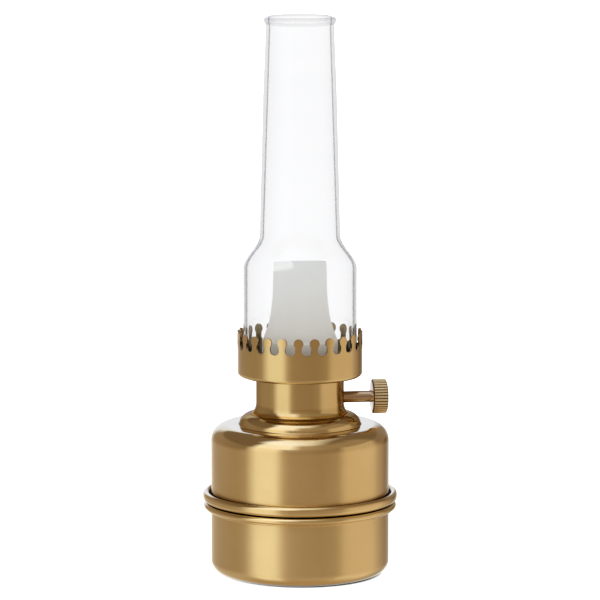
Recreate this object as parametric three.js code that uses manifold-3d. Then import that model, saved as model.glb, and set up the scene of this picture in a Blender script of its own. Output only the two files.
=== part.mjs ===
// A brass table lamp in the shape of an oil lamp, with an LED light behind a frosted flame.
// Millimetres, +Z up. The origin is the centre of the foot, on the surface that the lamp stands on,
// and the knob points along +X.
//
// Four bodies move against each other: the base cup stays on the table, the lamp lifts off it to
// show the battery tray, the glass chimney lifts out of the crown, and the knob turns.

import * as THREE from "three";
import { mergeVertices } from "three/addons/utils/BufferGeometryUtils.js";
import Module from "manifold-3d";

const wasm = await Module();
wasm.setup();

// ---------------------------------------------------------------- driving dimensions

const GAP = 0.3; // between solids that touch in the real lamp
const SHEET = 0.8; // spun and drawn brass
const ROUND = 32; // facets of a large round
const SMALL_ROUND = 16; // facets of a small round

const BODY_R = 39.9; // cup and font, outside

// Base cup and foot pad
const CUP_CORNER_R = 5.5;
const CUP_BOTTOM = 0.4; // the pad carries the lamp, this much proud of the cup
const CUP_LIP_R = 43.2;
const CUP_LIP_LOW = 29.2;
const CUP_RIM = 32.4;
const PAD_R = 33;
const PAD_THICK = 1.2;

// Font, the round tank of the oil lamp, here the housing of the battery chassis
const FONT_FOOT = CUP_RIM + 0.4;
const FONT_TOP = 67.4;
const FONT_CORNER_R = 7;
const FONT_HOLE_R = 17.8;
const CURL_R = 43.6; // the curled edge at the font's foot
const CURL_INNER_R = 41.3;
const CURL_TOP = 37.3;
const CURL_GROOVE_FLOOR = 34.2;

// Collar and neck
const COLLAR_R = 27.2;
const COLLAR_TOP = 72.3;
const COLLAR_TOP_R = 21.6;
const NECK_R = 19.7;
const NECK_FOOT = 72.6;
const NECK_FOOT_R = 21.4;
const NECK_FLARE_R = 6.5; // the hollow curve that widens the neck down to its foot
const NECK_FLARE_TOP = 77.1;
const NECK_TAIL_R = 17.5; // the threaded tail below the foot
const NECK_TAIL_LOW = 58;
const DECK_TOP = 89.1; // the neck's closed top
const DECK_HOLE_R = 6;
const RING_NUT_R = 22.5;
const RING_NUT_HIGH = 4.2;

// Crown gallery
const CROWN_R = 28;
const CROWN_FLOOR = DECK_TOP + GAP;
const CROWN_CORNER_R = 1.8;
const CROWN_VALLEY = 101.8;
const CROWN_TIP = 109.5;
const CROWN_HOLE_R = 15.5;
const TEETH = 24;
const TOOTH_PHASE = 5.6; // degrees from the knob's side to the nearest tooth
const TOOTH_HEAD = 4.4;
const TOOTH_WAIST = 3.2;

// Lamp holder, light board and frosted flame
const HOLDER_R = 18.4;
const HOLDER_LOW = CROWN_FLOOR + SHEET + GAP;
const HOLDER_FLANGE = 1.8;
const HOLDER_SPIGOT_R = 15.1;
const HOLDER_SPIGOT_TOP = 97;
const HOLDER_SCREW_PCR = 11.5;
const LIGHT_LEAD_X = 3.6;
const FLAME_R = 16.9;
const FLAME_TOP = 140.6;
const FLAME_TOP_HALF_WIDTH = 11.6;
const FLAME_TOP_HALF_DEPTH = 4;
const FLAME_WALL = 1.4;

// Glass chimney
const GLASS_WALL = 1.9;
const GLASS_BULB_R = 25.4;
const GLASS_LOW = CROWN_FLOOR + SHEET + GAP;
const GLASS_SHOULDER_LOW = 137.5;
const GLASS_SHOULDER_HIGH = 152.5;
const GLASS_FLUE_R = 18;
const GLASS_FLUE_TOP_R = 15.1;
const GLASS_LIP_R = 16.1;
const GLASS_TOP = 250;

// Knob, spindle and rotary dimmer, all on one axis along +X
const KNOB_Z = 79.1;
const KNOB_R = 7.7;
const KNOB_FROM = 32.8;
const KNOB_TO = 38.9;
const KNOB_CHAMFER = 0.6;
const KNOB_RIBS = 36;
const SPINDLE_R = 2.4;
const SPINDLE_FROM = 4.2;
const SPINDLE_TO = 37;
const DIMMER_R = 8;
const DIMMER_FROM = 1.6;
const DIMMER_TO = 10;
const DIMMER_BUSH_R = 3.6;
const DIMMER_BUSH_TO = 16.4;
const BRACKET_THICK = 1.2;
const BRACKET_HALF_WIDTH = 12.5;

// Battery chassis, tray and the three AA cells
const CHASSIS_R = 38.7;
const CHASSIS_SKIRT = 1.4;
const CHASSIS_LOW = 24.5;
const CHASSIS_HIGH = 44;
const CHASSIS_PLATE = 28;
const CHASSIS_PLATE_THICK = 2;
const POST_Y = 31;
const POST_R = 3.6;
const POST_TOP = 46;
const SCREW_R = 1.4;
const CELL_R = 7.2;
const CELL_LENGTH = 50.5;
const CELL_NUB = 1.3;
const CELL_NUB_R = 2.75;
const CELL_PITCH = 15.6;
const CELL_Z = 19.1;
const TRAY_WALL = 1.5;
const TRAY_HALF_BAY = 27.5;
const TRAY_FLOOR = 26.5;
const TRAY_LOW = 12.2;
const TRAY_CORNER_R = 36.6;
const CONTACT_THICK = 0.4;
const LEAD_R = 0.7;
const LEAD_HOLE_X = 32;

// ---------------------------------------------------------------- finishes

const finish = (color, roughness, metalness, more = {}) =>
  new THREE.MeshStandardMaterial({ color, roughness, metalness, ...more });

const brass = finish(0xb8935a, 0.32, 1);
const polishedBrass = finish(0xc9a566, 0.18, 1);
const clearGlass = finish(0xf4f8f8, 0.02, 0, { transparent: true, opacity: 0.3 });
const frosted = finish(0xe6e6e0, 0.6, 0, { transparent: true, opacity: 0.85 });
const whitePlastic = finish(0xeeeeea, 0.45, 0);
const blackPlastic = finish(0x1d1d1f, 0.5, 0);
const steel = finish(0xc4c6c8, 0.3, 1);
const feltBlack = finish(0x26262a, 0.95, 0);
const boardGreen = finish(0x1f6b45, 0.5, 0);
const phosphor = finish(0xf1d35a, 0.4, 0);
const cellWrap = finish(0x35506e, 0.35, 0.3);
const redLead = finish(0xb02a22, 0.5, 0);
const blackLead = finish(0x202022, 0.5, 0);

// ---------------------------------------------------------------- solids and booleans

function solid(geometry) {
  const bare = geometry.clone();
  bare.deleteAttribute("normal");
  bare.deleteAttribute("uv");
  const merged = mergeVertices(bare, 1e-4);
  const mesh = new wasm.Mesh({
    numProp: 3,
    vertProperties: merged.getAttribute("position").array,
    triVerts: new Uint32Array(merged.index.array),
  });
  return new wasm.Manifold(mesh);
}

function geometryOf(made) {
  const mesh = made.getMesh();
  const corners = new THREE.BufferAttribute(new Float32Array(mesh.vertProperties), 3);
  const geometry = new THREE.BufferGeometry().setAttribute("position", corners);
  geometry.setIndex(new THREE.BufferAttribute(new Uint32Array(mesh.triVerts), 1));
  geometry.computeVertexNormals();
  return geometry;
}

const joined = (first, ...others) =>
  geometryOf(others.reduce((all, next) => all.add(solid(next)), solid(first)));
const cut = (stock, ...tools) =>
  geometryOf(tools.reduce((rest, tool) => rest.subtract(solid(tool)), solid(stock)));
const common = (one, other) => geometryOf(solid(one).intersect(solid(other)));

// ---------------------------------------------------------------- shapes

const degrees = (angle) => (angle * Math.PI) / 180;

// Points [radius, height] on an arc, from one angle to another, counted from the +radius side.
function arc(radius, height, r, from, to, steps = 4) {
  const points = [];
  for (let i = 0; i <= steps; i += 1) {
    const angle = degrees(from + ((to - from) * i) / steps);
    points.push([radius + r * Math.cos(angle), height + r * Math.sin(angle)]);
  }
  return points;
}

// A solid of revolution about Z. The profile runs up the outside and down the inside. It either
// starts and ends on the axis or is closed here.
function turned(profile, facets = ROUND) {
  const points = profile.map(([r, z]) => new THREE.Vector2(r, z));
  if (points[0].x > 0) points.push(points[0].clone());
  return new THREE.LatheGeometry(points, facets).rotateX(Math.PI / 2);
}

// The same about an axis along +X at the knob's height: heights in the profile are distances
// along X.
function turnedOnKnobAxis(profile, facets = SMALL_ROUND) {
  return turned(profile, facets).rotateY(Math.PI / 2).translate(0, 0, KNOB_Z);
}

const disc = (r, low, high, facets = ROUND) =>
  turned([[0, low], [r, low], [r, high], [0, high]], facets);

const ring = (inner, outer, low, high, facets = ROUND) =>
  turned([[inner, low], [outer, low], [outer, high], [inner, high]], facets);

function box(x0, x1, y0, y1, z0, z1) {
  const block = new THREE.BoxGeometry(x1 - x0, y1 - y0, z1 - z0);
  return block.translate((x0 + x1) / 2, (y0 + y1) / 2, (z0 + z1) / 2);
}

// A round bar along X between two places.
const barAlongX = (r, x0, x1, y, z, facets = SMALL_ROUND) =>
  disc(r, x0, x1, facets).rotateY(Math.PI / 2).translate(0, y, z);

// An insulated lead along a smooth route.
function lead(route, steps = 10, sides = 8) {
  const section = new THREE.Shape();
  for (let i = 0; i < sides; i += 1) {
    const angle = (2 * Math.PI * i) / sides;
    const x = LEAD_R * Math.cos(angle);
    const y = LEAD_R * Math.sin(angle);
    if (i === 0) section.moveTo(x, y);
    else section.lineTo(x, y);
  }
  section.closePath();
  const path = new THREE.CatmullRomCurve3(route.map((p) => new THREE.Vector3(...p)));
  return new THREE.ExtrudeGeometry(section, { steps, extrudePath: path, bevelEnabled: false });
}

// A skin through rings that are ellipses with half axes a (along X) and b (along Y) at height z.
// Rings run as a profile does: out from the axis, down the inside, up the outside, to the axis.
function lofted(rings, facets) {
  const corners = [];
  for (const { a, b, z } of rings) {
    for (let i = 0; i < facets; i += 1) {
      const angle = (2 * Math.PI * i) / facets;
      corners.push(a * Math.cos(angle), b * Math.sin(angle), z);
    }
  }
  const faces = [];
  for (let j = 0; j + 1 < rings.length; j += 1) {
    for (let i = 0; i < facets; i += 1) {
      const low = j * facets + i;
      const lowNext = j * facets + ((i + 1) % facets);
      const high = low + facets;
      const highNext = lowNext + facets;
      if (rings[j].a > 0) faces.push(low, lowNext, high);
      if (rings[j + 1].a > 0) faces.push(lowNext, highNext, high);
    }
  }
  const geometry = new THREE.BufferGeometry();
  geometry.setAttribute("position", new THREE.Float32BufferAttribute(corners, 3));
  geometry.setIndex(faces);
  return geometryOf(solid(geometry));
}

// A pan-head screw along Z, its head below `seat` and its shank up to `end`, or the other way up.
function screwUp(seat, end, headR, headHigh, shankR) {
  return turned([
    [0, seat - headHigh],
    [headR * 0.75, seat - headHigh],
    [headR, seat - headHigh * 0.5],
    [headR, seat],
    [shankR, seat],
    [shankR, end],
    [0, end],
  ], 12);
}

const screwDown = (seat, end, headR, headHigh, shankR) =>
  screwUp(-seat, -end, headR, headHigh, shankR).rotateX(Math.PI);

// ---------------------------------------------------------------- base

function baseCup() {
  const cornerR = BODY_R - CUP_CORNER_R;
  const lip = (CUP_RIM - CUP_LIP_LOW) / 2;
  const recess = PAD_THICK + 0.1;
  const inside = BODY_R - SHEET;
  return turned([
    [0, recess],
    [PAD_R + GAP, recess],
    [PAD_R + GAP + 0.4, CUP_BOTTOM],
    ...arc(cornerR, CUP_BOTTOM + CUP_CORNER_R, CUP_CORNER_R, -90, 0, 4),
    [BODY_R, CUP_LIP_LOW - 0.7],
    [BODY_R + 0.5, CUP_LIP_LOW],
    ...arc(CUP_LIP_R - lip, CUP_LIP_LOW + lip, lip, -90, 90, 5),
    [inside, CUP_RIM],
    ...arc(cornerR, CUP_BOTTOM + CUP_CORNER_R, CUP_CORNER_R - SHEET, 0, -60, 2),
    [PAD_R, recess + SHEET],
    [0, recess + SHEET],
  ]);
}

const footPad = () => disc(PAD_R, 0, PAD_THICK);

// ---------------------------------------------------------------- font, collar and neck

function fontShell() {
  const cornerR = BODY_R - FONT_CORNER_R;
  const cornerZ = FONT_TOP - FONT_CORNER_R;
  const curl = (CURL_R - CURL_INNER_R) / 2;
  return turned([
    [BODY_R - SHEET, FONT_FOOT],
    [CURL_R - 2.1, FONT_FOOT],
    [CURL_R - 0.5, FONT_FOOT + 1],
    [CURL_R, FONT_FOOT + 2.2],
    ...arc(CURL_R - curl, CURL_TOP - curl, curl, 15, 180, 4),
    [CURL_INNER_R, CURL_GROOVE_FLOOR],
    [BODY_R, CURL_GROOVE_FLOOR],
    ...arc(cornerR, cornerZ, FONT_CORNER_R, 0, 90, 5),
    [FONT_HOLE_R, FONT_TOP],
    [FONT_HOLE_R, FONT_TOP - SHEET],
    ...arc(cornerR, cornerZ, FONT_CORNER_R - SHEET, 90, 0, 3),
  ]);
}

function neckCollar() {
  const low = FONT_TOP + GAP;
  const high = COLLAR_TOP - low;
  const wide = COLLAR_R - COLLAR_TOP_R;
  const dome = (scale, steps) => {
    const points = [];
    for (let i = 0; i <= steps; i += 1) {
      const angle = degrees((90 * i) / steps);
      const shrink = scale * SHEET;
      points.push([
        COLLAR_TOP_R + (wide - shrink) * Math.cos(angle),
        low + (high - shrink) * Math.sin(angle),
      ]);
    }
    return points;
  };
  return turned([
    ...dome(0, 5),
    [FONT_HOLE_R, COLLAR_TOP],
    [FONT_HOLE_R, COLLAR_TOP - SHEET],
    ...dome(1, 2).reverse(),
  ]);
}

function neckTube() {
  const inside = NECK_R - SHEET;
  const tube = turned([
    [NECK_TAIL_R - 1.2, NECK_TAIL_LOW],
    [NECK_TAIL_R, NECK_TAIL_LOW],
    [NECK_TAIL_R, NECK_FOOT],
    [NECK_FOOT_R, NECK_FOOT],
    ...arc(NECK_R + NECK_FLARE_R, NECK_FLARE_TOP, NECK_FLARE_R, -138, -180, 3),
    [NECK_R, DECK_TOP - 0.4],
    [NECK_R - 0.4, DECK_TOP],
    [DECK_HOLE_R, DECK_TOP],
    [DECK_HOLE_R, DECK_TOP - SHEET],
    [inside, DECK_TOP - SHEET],
    [inside, NECK_FOOT + 2.5],
    [NECK_TAIL_R - 1.2, NECK_FOOT + 0.5],
  ]);
  const spindleHole = barAlongX(SPINDLE_R + 0.4, inside - 2, NECK_R + 3, 0, KNOB_Z);
  return cut(tube, spindleHole, ...holderScrewPlaces().map((at) => pin(at, 1.5, 85, 92)));
}

// A round bar along Z at [x, y].
const pin = ([x, y], r, low, high) => disc(r, low, high, 12).translate(x, y, 0);

function ringNut() {
  const top = FONT_TOP - SHEET - GAP;
  const body = ring(NECK_TAIL_R + GAP, RING_NUT_R, top - RING_NUT_HIGH, top);
  const slots = [0, 90, 180, 270].map((angle) =>
    box(RING_NUT_R - 1.6, RING_NUT_R + 2, -2, 2, 50, 70).rotateZ(degrees(angle)),
  );
  return cut(body, ...slots);
}

// ---------------------------------------------------------------- crown gallery

// The outline of one gap between two teeth, seen from outside: u runs round the band and z up.
function toothGap() {
  const halfPitch = (Math.PI * CROWN_R) / TEETH;
  const waist = halfPitch - TOOTH_WAIST / 2;
  const head = halfPitch - TOOTH_HEAD / 2;
  const gap = new THREE.Shape();
  const high = CROWN_TIP + 2;
  const rise = CROWN_TIP - CROWN_VALLEY;
  gap.moveTo(0, CROWN_VALLEY);
  const side = [
    [waist * 0.6, CROWN_VALLEY],
    [waist, CROWN_VALLEY + rise * 0.14],
    [waist, CROWN_VALLEY + rise * 0.36],
    [head + 0.05, CROWN_VALLEY + rise * 0.52],
    [head + 0.05, CROWN_VALLEY + rise * 0.67],
    [halfPitch - 1.15, CROWN_VALLEY + rise * 0.89],
    [halfPitch - 0.02, CROWN_TIP],
    [halfPitch - 0.02, high],
  ];
  side.forEach(([u, z]) => gap.lineTo(u, z));
  [...side].reverse().forEach(([u, z]) => gap.lineTo(-u, z));
  gap.closePath();
  return gap;
}

function gapCutter(angle) {
  const inner = CROWN_R - 3;
  const tool = new THREE.ExtrudeGeometry(toothGap(), { depth: 5, bevelEnabled: false, steps: 1 });
  return tool.rotateX(Math.PI / 2).translate(0, -inner, 0).rotateZ(degrees(angle));
}

function crownGallery() {
  const inside = CROWN_R - SHEET;
  const cornerZ = CROWN_FLOOR + CROWN_CORNER_R;
  const band = turned([
    [CROWN_HOLE_R, CROWN_FLOOR],
    ...arc(CROWN_R - CROWN_CORNER_R, cornerZ, CROWN_CORNER_R, -90, 0, 3),
    [CROWN_R, CROWN_TIP],
    [inside, CROWN_TIP],
    ...arc(CROWN_R - CROWN_CORNER_R, cornerZ, CROWN_CORNER_R - SHEET, 0, -90, 1),
    [CROWN_HOLE_R, CROWN_FLOOR + SHEET],
  ], 48);
  const cutters = [];
  for (let i = 0; i < TEETH; i += 1) {
    cutters.push(gapCutter(90 + TOOTH_PHASE + ((i + 0.5) * 360) / TEETH));
  }
  return cut(band, ...cutters);
}

// ---------------------------------------------------------------- light

const holderScrewPlaces = () =>
  [60, 180, 300].map((angle) => [
    HOLDER_SCREW_PCR * Math.cos(degrees(angle)),
    HOLDER_SCREW_PCR * Math.sin(degrees(angle)),
  ]);

function lampHolder() {
  const flangeTop = HOLDER_LOW + HOLDER_FLANGE;
  const body = turned([
    [DECK_HOLE_R - 1.5, HOLDER_LOW],
    [HOLDER_R, HOLDER_LOW],
    [HOLDER_R, flangeTop],
    [HOLDER_SPIGOT_R, flangeTop],
    [HOLDER_SPIGOT_R, HOLDER_SPIGOT_TOP],
    [DECK_HOLE_R - 1.5, HOLDER_SPIGOT_TOP],
  ], 24);
  const sinks = holderScrewPlaces().flatMap((at) => [
    pin(at, 1.5, 85, 99),
    pin(at, 2.7, HOLDER_SPIGOT_TOP - 2.4, 99),
  ]);
  return cut(body, ...sinks);
}

function lightBoard() {
  const board = disc(8.4, HOLDER_SPIGOT_TOP + GAP, HOLDER_SPIGOT_TOP + GAP + 1.6, 24);
  return cut(board, ...[-1, 1].map((side) => pin([side * LIGHT_LEAD_X, 0], 1.3, 90, 105)));
}

function ledChip() {
  const low = HOLDER_SPIGOT_TOP + GAP + 1.6 + GAP;
  return joined(box(-2.5, 2.5, -2.5, 2.5, low, low + 0.8), disc(2, low + 0.4, low + 1.5, 16));
}

// Half width and half depth of the flame at each height: round at the foot, flat at the top.
const FLAME = [
  { z: HOLDER_LOW + HOLDER_FLANGE + GAP, a: FLAME_R, b: FLAME_R },
  { z: 104.6, a: FLAME_R, b: FLAME_R },
  { z: 106.4, a: 16.3, b: 15.8 },
  { z: 109.5, a: 15.2, b: 13.9 },
  { z: 114, a: 13.8, b: 11.3 },
  { z: 119.5, a: 12.9, b: 8.8 },
  { z: 126, a: 12.3, b: 6.6 },
  { z: 133, a: 11.9, b: 5 },
  { z: FLAME_TOP, a: FLAME_TOP_HALF_WIDTH, b: FLAME_TOP_HALF_DEPTH },
];

function flameDiffuser() {
  const inner = FLAME.map(({ z, a, b }) => ({ z, a: a - FLAME_WALL, b: b - FLAME_WALL }));
  const roof = FLAME_TOP - FLAME_WALL;
  inner[inner.length - 1].z = roof;
  return lofted(
    [
      { z: roof, a: 0, b: 0 },
      ...inner.reverse(),
      ...FLAME,
      { z: FLAME_TOP, a: 0, b: 0 },
    ],
    24,
  );
}

function holderScrew([x, y]) {
  const seat = HOLDER_SPIGOT_TOP - 2.1;
  return screwDown(seat, DECK_TOP - 4.6, 2.3, 1.6, 1.15).translate(x, y, 0);
}

// ---------------------------------------------------------------- glass chimney

function glassChimney() {
  const rise = GLASS_SHOULDER_HIGH - GLASS_SHOULDER_LOW;
  const out = GLASS_BULB_R - GLASS_FLUE_R;
  const shoulder = (wall, steps) => {
    const points = [];
    for (let i = 0; i <= steps; i += 1) {
      const t = i / steps;
      const ease = (1 + Math.cos(Math.PI * t)) / 2;
      points.push([GLASS_FLUE_R + out * ease - wall, GLASS_SHOULDER_LOW + rise * t]);
    }
    return points;
  };
  const flueTop = GLASS_TOP - 2.2;
  return turned([
    [GLASS_BULB_R - GLASS_WALL, GLASS_LOW],
    [GLASS_BULB_R, GLASS_LOW],
    ...shoulder(0, 6),
    [GLASS_FLUE_TOP_R, flueTop - 1.6],
    [GLASS_LIP_R, flueTop],
    [GLASS_LIP_R, GLASS_TOP - 0.5],
    [GLASS_LIP_R - 0.5, GLASS_TOP],
    [GLASS_LIP_R - GLASS_WALL, GLASS_TOP],
    [GLASS_FLUE_TOP_R - GLASS_WALL, flueTop - 1.6],
    ...shoulder(GLASS_WALL, 4).reverse(),
  ]);
}

// ---------------------------------------------------------------- knob, spindle and dimmer

function knob() {
  const ribs = new THREE.Shape();
  for (let i = 0; i < KNOB_RIBS * 2; i += 1) {
    const r = i % 2 ? KNOB_R : KNOB_R - 0.45;
    const angle = (Math.PI * i) / KNOB_RIBS;
    if (i === 0) ribs.moveTo(r, 0);
    else ribs.lineTo(r * Math.cos(angle), r * Math.sin(angle));
  }
  ribs.closePath();
  const depth = KNOB_TO - KNOB_FROM;
  const ribbed = new THREE.ExtrudeGeometry(ribs, { depth, bevelEnabled: false })
    .rotateY(Math.PI / 2)
    .translate(KNOB_FROM, 0, KNOB_Z);
  const chamfered = turnedOnKnobAxis([
    [0, KNOB_FROM],
    [KNOB_R - KNOB_CHAMFER, KNOB_FROM],
    [KNOB_R + 0.1, KNOB_FROM + KNOB_CHAMFER],
    [KNOB_R + 0.1, KNOB_TO - KNOB_CHAMFER],
    [KNOB_R - KNOB_CHAMFER, KNOB_TO],
    [0, KNOB_TO],
  ], 24);
  const bore = barAlongX(SPINDLE_R + GAP, KNOB_FROM - 1, SPINDLE_TO + GAP, 0, KNOB_Z);
  return cut(common(ribbed, chamfered), bore);
}

const spindle = () => barAlongX(SPINDLE_R, SPINDLE_FROM + 1.2, SPINDLE_TO, 0, KNOB_Z);

// The wiper disc that the spindle turns inside the dimmer.
const dimmerRotor = () => barAlongX(DIMMER_R - 1.6, SPINDLE_FROM, SPINDLE_FROM + 0.9, 0, KNOB_Z, 24);

const dimmerHousing = () =>
  turnedOnKnobAxis([
    [DIMMER_R - 1.1, DIMMER_FROM + 1.2],
    [DIMMER_R, DIMMER_FROM + 1.2],
    [DIMMER_R, DIMMER_TO],
    [DIMMER_BUSH_R, DIMMER_TO],
    [DIMMER_BUSH_R, DIMMER_BUSH_TO],
    [SPINDLE_R + GAP, DIMMER_BUSH_TO],
    [SPINDLE_R + GAP, DIMMER_TO - 1.4],
    [DIMMER_R - 1.1, DIMMER_TO - 1.4],
  ], 24);

function dimmerBack() {
  const plate = barAlongX(DIMMER_R, DIMMER_FROM - 0.3, DIMMER_FROM + 0.9, 0, KNOB_Z, 24);
  const tags = [-3, 3].map((y) =>
    box(DIMMER_FROM - 0.1, DIMMER_FROM + 0.5, y - 0.9, y + 0.9, KNOB_Z - DIMMER_R - 3, KNOB_Z - 6),
  );
  return joined(plate, ...tags);
}

function dimmerNut() {
  const from = DIMMER_TO + GAP + BRACKET_THICK + GAP;
  const hexagon = barAlongX(5.6, from, from + 2.2, 0, KNOB_Z, 6);
  return cut(hexagon, barAlongX(DIMMER_BUSH_R + GAP, from - 1, from + 4, 0, KNOB_Z));
}

// Sheet steel folded at the top: two holder screws hold its arms under the neck's deck, and the
// dimmer's bush goes through its web.
function dimmerBracket() {
  const from = DIMMER_TO + GAP;
  const top = DECK_TOP - SHEET - GAP;
  const half = BRACKET_HALF_WIDTH;
  const web = box(from, from + BRACKET_THICK, -8, 8, KNOB_Z - 8, top);
  const tab = box(2.4, from + BRACKET_THICK, -half, half, top - BRACKET_THICK, top);
  return cut(
    joined(web, tab),
    box(0, from, -4, 4, top - 3, top + 1),
    barAlongX(DIMMER_BUSH_R + GAP, from - 1, from + 3, 0, KNOB_Z),
    ...[0, 2].map((i) => pin(holderScrewPlaces()[i], 1.5, top - 3, top + 2)),
  );
}

// ---------------------------------------------------------------- chassis, tray and cells

const postPlaces = [[0, POST_Y], [0, -POST_Y]];

function batteryChassis() {
  const inside = CHASSIS_R - CHASSIS_SKIRT;
  const plateTop = CHASSIS_PLATE + CHASSIS_PLATE_THICK;
  const drum = turned([
    [0, CHASSIS_PLATE],
    [inside, CHASSIS_PLATE],
    [inside, CHASSIS_LOW],
    [CHASSIS_R, CHASSIS_LOW],
    [CHASSIS_R, CHASSIS_HIGH],
    [inside, CHASSIS_HIGH],
    [inside, plateTop],
    [0, plateTop],
  ]);
  const posts = postPlaces.map((at) => pin(at, POST_R, plateTop - 1, POST_TOP));
  const screwHoles = postPlaces.map((at) => pin(at, SCREW_R + GAP, 20, POST_TOP + 2));
  const leadHoles = [-LEAD_HOLE_X, LEAD_HOLE_X].map((x) => pin([x, 0], 2, 20, 35));
  return cut(joined(drum, ...posts), ...screwHoles, ...leadHoles);
}

function chassisBoss(at) {
  const low = POST_TOP + GAP;
  const boss = pin(at, POST_R, low, FONT_TOP - SHEET - 3 * GAP); // clear of the shoulder's curve
  return cut(boss, pin(at, SCREW_R + GAP, low - 1, low + 10));
}

function chassisScrew([x, y]) {
  return screwUp(TRAY_FLOOR - GAP, POST_TOP + 8, 3, 2, SCREW_R).translate(x, y, 0);
}

function batteryTray() {
  const outerX = TRAY_HALF_BAY + TRAY_WALL;
  const outerY = CELL_PITCH * 1.5 + TRAY_WALL / 2;
  const top = CHASSIS_PLATE - GAP;
  const block = common(
    box(-outerX, outerX, -outerY, outerY, TRAY_LOW, top),
    disc(TRAY_CORNER_R, TRAY_LOW - 1, top + 1),
  );
  const ears = postPlaces.map(([x, y]) => pin([x, y * 0.985], 4.6, TRAY_FLOOR, top));
  const webs = postPlaces.map(([x, y]) =>
    box(x - 4.6, x + 4.6, Math.min(y, y * 0.7), Math.max(y, y * 0.7), TRAY_FLOOR, top),
  );
  const half = (CELL_PITCH - TRAY_WALL) / 2;
  const bays = [-1, 0, 1].map((row) => {
    const y = row * CELL_PITCH;
    const bay = box(-TRAY_HALF_BAY, TRAY_HALF_BAY, y - half - 0.3, y + half + 0.3, TRAY_LOW - 2, TRAY_FLOOR);
    return common(bay, disc(TRAY_CORNER_R - 1, TRAY_LOW - 3, TRAY_FLOOR + 1));
  });
  const holes = postPlaces.map((at) => pin(at, SCREW_R + GAP, TRAY_FLOOR - 2, top + 2));
  return cut(joined(block, ...ears, ...webs), ...bays, ...holes);
}

// The cells lie in turn, so that the first one's + end is at +X and the second one's at -X.
const plusSide = (row) => (row === 0 ? -1 : 1);

function cell(row) {
  const tip = TRAY_HALF_BAY - 2 * GAP - CONTACT_THICK;
  const end = tip - CELL_NUB;
  const tail = tip - CELL_LENGTH;
  const can = turned([
    [0, tail],
    [CELL_R - 0.6, tail],
    [CELL_R, tail + 0.6],
    [CELL_R, end - 0.6],
    [CELL_R - 0.6, end],
    [CELL_NUB_R, end],
    [CELL_NUB_R, tip],
    [0, tip],
  ], SMALL_ROUND + 4);
  return can
    .rotateY((plusSide(row) * Math.PI) / 2)
    .translate(0, row * CELL_PITCH, CELL_Z);
}

function plateContact(row) {
  const side = plusSide(row);
  const near = side * (TRAY_HALF_BAY - GAP - CONTACT_THICK);
  const far = side * (TRAY_HALF_BAY - GAP);
  const y = row * CELL_PITCH;
  const x0 = Math.min(near, far);
  const x1 = Math.max(near, far);
  return box(x0, x1, y - 4.5, y + 4.5, CELL_Z - 4.5, CELL_Z + 4.5);
}

// The coiled spring that presses on a cell's flat end, as the cone that it fills.
function springContact(row) {
  const wall = TRAY_HALF_BAY - GAP;
  const long = 2 * TRAY_HALF_BAY - CELL_LENGTH - 4 * GAP - CONTACT_THICK;
  const cone = turned([
    [0, wall - long],
    [2.2, wall - long],
    [4.4, wall - 0.5],
    [4.4, wall],
    [0, wall],
  ], SMALL_ROUND);
  return cone
    .rotateY((-plusSide(row) * Math.PI) / 2)
    .translate(0, row * CELL_PITCH, CELL_Z);
}

function controlBoard() {
  const low = CHASSIS_PLATE + CHASSIS_PLATE_THICK + GAP;
  const board = box(-17, 17, -11, 11, low, low + 1.6);
  const chip = box(-4, 4, -3, 3, low + 1, low + 3.4);
  const capacitor = pin([11, -5], 3.2, low + 1, low + 10);
  return joined(board, chip, capacitor);
}

// ---------------------------------------------------------------- internal leads

const BOARD_TOP = CHASSIS_PLATE + CHASSIS_PLATE_THICK + 2 * GAP + 1.6;

const batteryLead = (side) =>
  lead([
    [side * LEAD_HOLE_X, 0, TRAY_FLOOR - 4],
    [side * LEAD_HOLE_X, 0, CHASSIS_PLATE + 1],
    [side * (LEAD_HOLE_X - 1), 0, CHASSIS_PLATE + 8],
    [side * 24, 0, CHASSIS_PLATE + 12],
    [side * 15.5, 0, CHASSIS_PLATE + 9],
    [side * 14, 0, BOARD_TOP + LEAD_R],
  ]);

const dimmerLead = (side) =>
  lead([
    [side * 6, 8, BOARD_TOP + LEAD_R],
    [side * 6, 8, BOARD_TOP + 9],
    [side * 3, 11, 52],
    [-2.5, side * 3.4, 60],
    [0.2, side * 3.6, 64],
  ]);

const lightLead = (side) =>
  lead([
    [side * 9 - 2, -8, BOARD_TOP + LEAD_R],
    [side * 9 - 2, -8, BOARD_TOP + 9],
    [-7, -6 + side * 2, 54],
    [-7, side * 2.6, 68],
    [-4.2, side * 2.4, 80],
    [-3.4, side * 2.4, 86],
    [side * LIGHT_LEAD_X, 0, HOLDER_SPIGOT_TOP - 2],
    [side * LIGHT_LEAD_X, 0, HOLDER_SPIGOT_TOP],
    [side * LIGHT_LEAD_X, 0, HOLDER_SPIGOT_TOP + 2.2],
  ]);

// ---------------------------------------------------------------- assembly

function piece(name, geometry, material) {
  const mesh = new THREE.Mesh(geometry, material);
  mesh.name = name;
  return mesh;
}

function assembly(...pieces) {
  const group = new THREE.Group();
  group.add(...pieces);
  return group;
}

const base = assembly(
  piece("base_cup", baseCup(), brass),
  piece("foot_pad", footPad(), feltBlack),
);

const housing = assembly(
  piece("font_shell", fontShell(), brass),
  piece("neck_collar", neckCollar(), brass),
  piece("neck_tube", neckTube(), brass),
  piece("neck_ring_nut", ringNut(), steel),
  piece("crown_gallery", crownGallery(), brass),
);

const light = assembly(
  piece("lamp_holder", lampHolder(), whitePlastic),
  piece("light_board", lightBoard(), whitePlastic),
  piece("led_chip", ledChip(), phosphor),
  piece("flame_diffuser", flameDiffuser(), frosted),
  ...holderScrewPlaces().map((at, i) => piece(`holder_screw_${i + 1}`, holderScrew(at), steel)),
);

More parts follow.
